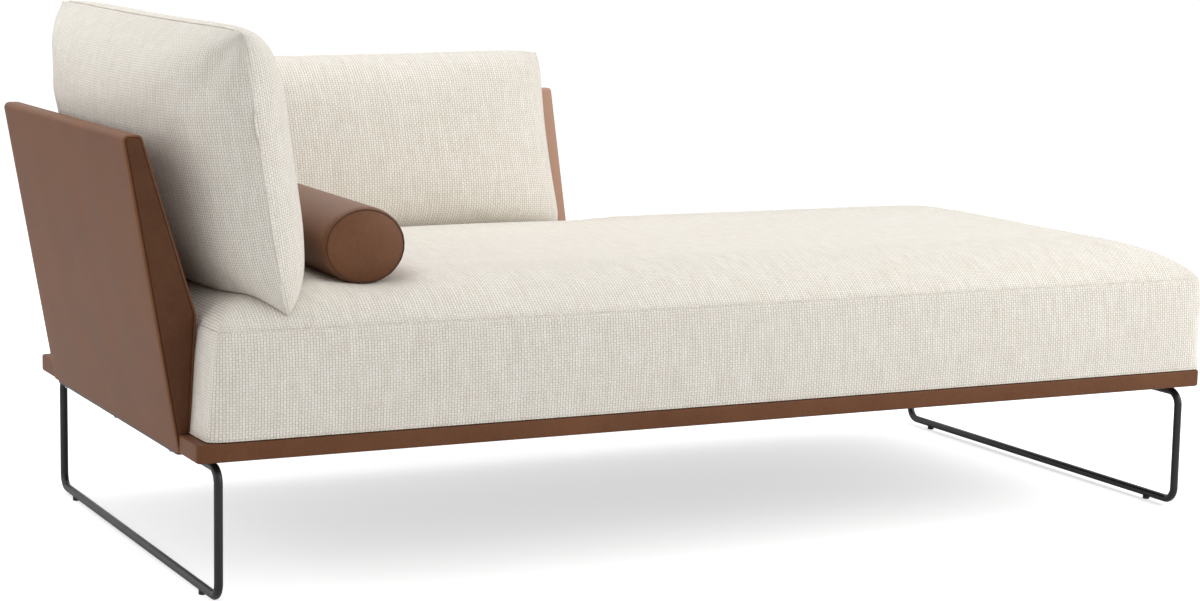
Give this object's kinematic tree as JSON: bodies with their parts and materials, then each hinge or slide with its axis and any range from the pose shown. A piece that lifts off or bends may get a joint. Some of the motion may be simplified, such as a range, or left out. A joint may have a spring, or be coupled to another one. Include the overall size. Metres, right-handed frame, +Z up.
{
  "type": "chaise longue",
  "caption": "Chaise longue with a leather covered deck on bent rod sleds, leaning panels at head and rear, a thick seat cushion, loose back cushions and a leather bolster.",
  "frame": {"origin": "on the floor, under the middle of the bounding box", "axes": "+X along the deck from the head end to the foot end, +Y from the front edge to the rear edge, +Z up"},
  "size_m": [1.9912, 0.9842, 0.8935],
  "materials": {
    "brown_leather": "satin",
    "cream_linen": "coarse basket weave",
    "black_rod": "satin black powder coat",
    "black_plastic": "matt",
    "zinc": "zinc plated",
    "black_cloth": "non-woven cloth",
    "plywood": "sanded",
    "foam": "open cell foam",
    "zip_tape": "woven tape",
    "brown_zip_tape": "woven tape"
  },
  "bodies": {
    "base": {"head_sled_rod": "black_rod", "head_sled_front_glide": "black_plastic", "head_sled_rear_glide": "black_plastic", "foot_sled_rod": "black_rod", "foot_sled_front_glide": "black_plastic", "foot_sled_rear_glide": "black_plastic", "head_sled_mounting_bar": "black_rod", "foot_sled_mounting_bar": "black_rod", "rear_panel_join_plate_1": "black_rod", "rear_panel_join_plate_2": "black_rod", "rear_panel_join_plate_3": "black_rod", "head_sled_edge_screw_1": "zinc", "head_sled_deck_screw_1": "zinc", "head_sled_edge_screw_2": "zinc", "head_sled_deck_screw_2": "zinc", "head_sled_edge_screw_3": "zinc", "head_sled_deck_screw_3": "zinc", "foot_sled_edge_screw_1": "zinc", "foot_sled_deck_screw_1": "zinc", "foot_sled_edge_screw_2": "zinc", "foot_sled_deck_screw_2": "zinc", "rear_panel_edge_screw_1": "zinc", "rear_panel_deck_screw_1": "zinc", "rear_panel_edge_screw_2": "zinc", "rear_panel_deck_screw_2": "zinc", "rear_panel_edge_screw_3": "zinc", "rear_panel_deck_screw_3": "zinc", "deck_board": "plywood", "deck_leather": "brown_leather", "deck_undercloth": "black_cloth", "head_panel_board": "plywood", "head_panel_foam": "foam", "head_panel_leather": "brown_leather", "head_panel_rear_gusset": "brown_leather", "head_panel_front_gusset": "brown_leather", "rear_panel_board": "plywood", "rear_panel_foam": "foam", "rear_panel_leather": "brown_leather", "rear_panel_foot_gusset": "brown_leather", "rear_panel_head_gusset": "brown_leather"},
    "seat_cushion": {"seat_cushion_cover": "cream_linen", "seat_cushion_core": "foam", "seat_cushion_zip": "zip_tape"},
    "head_cushion": {"head_cushion_cover": "cream_linen", "head_cushion_core": "foam", "head_cushion_zip": "zip_tape"},
    "rear_cushion": {"rear_cushion_cover": "cream_linen", "rear_cushion_core": "foam", "rear_cushion_zip": "zip_tape"},
    "bolster": {"bolster_cover": "brown_leather", "bolster_front_cap": "brown_leather", "bolster_rear_cap": "brown_leather", "bolster_core": "foam", "bolster_zip": "brown_zip_tape"}
  },
  "joints": [
    {"name": "seat_cushion_lift", "type": "slide", "parent": "base", "child": "seat_cushion", "axis": [0.0698, -0.0698, 0.9951], "range_m": [0, 0.5]},
    {"name": "head_cushion_lift", "type": "slide", "parent": "seat_cushion", "child": "head_cushion", "axis": [0, 0, 1], "range_m": [0, 0.45]},
    {"name": "rear_cushion_lift", "type": "slide", "parent": "seat_cushion", "child": "rear_cushion", "axis": [0, 0, 1], "range_m": [0, 0.45]},
    {"name": "bolster_lift", "type": "slide", "parent": "seat_cushion", "child": "bolster", "axis": [0, 0, 1], "range_m": [0, 0.45]}
  ]
}
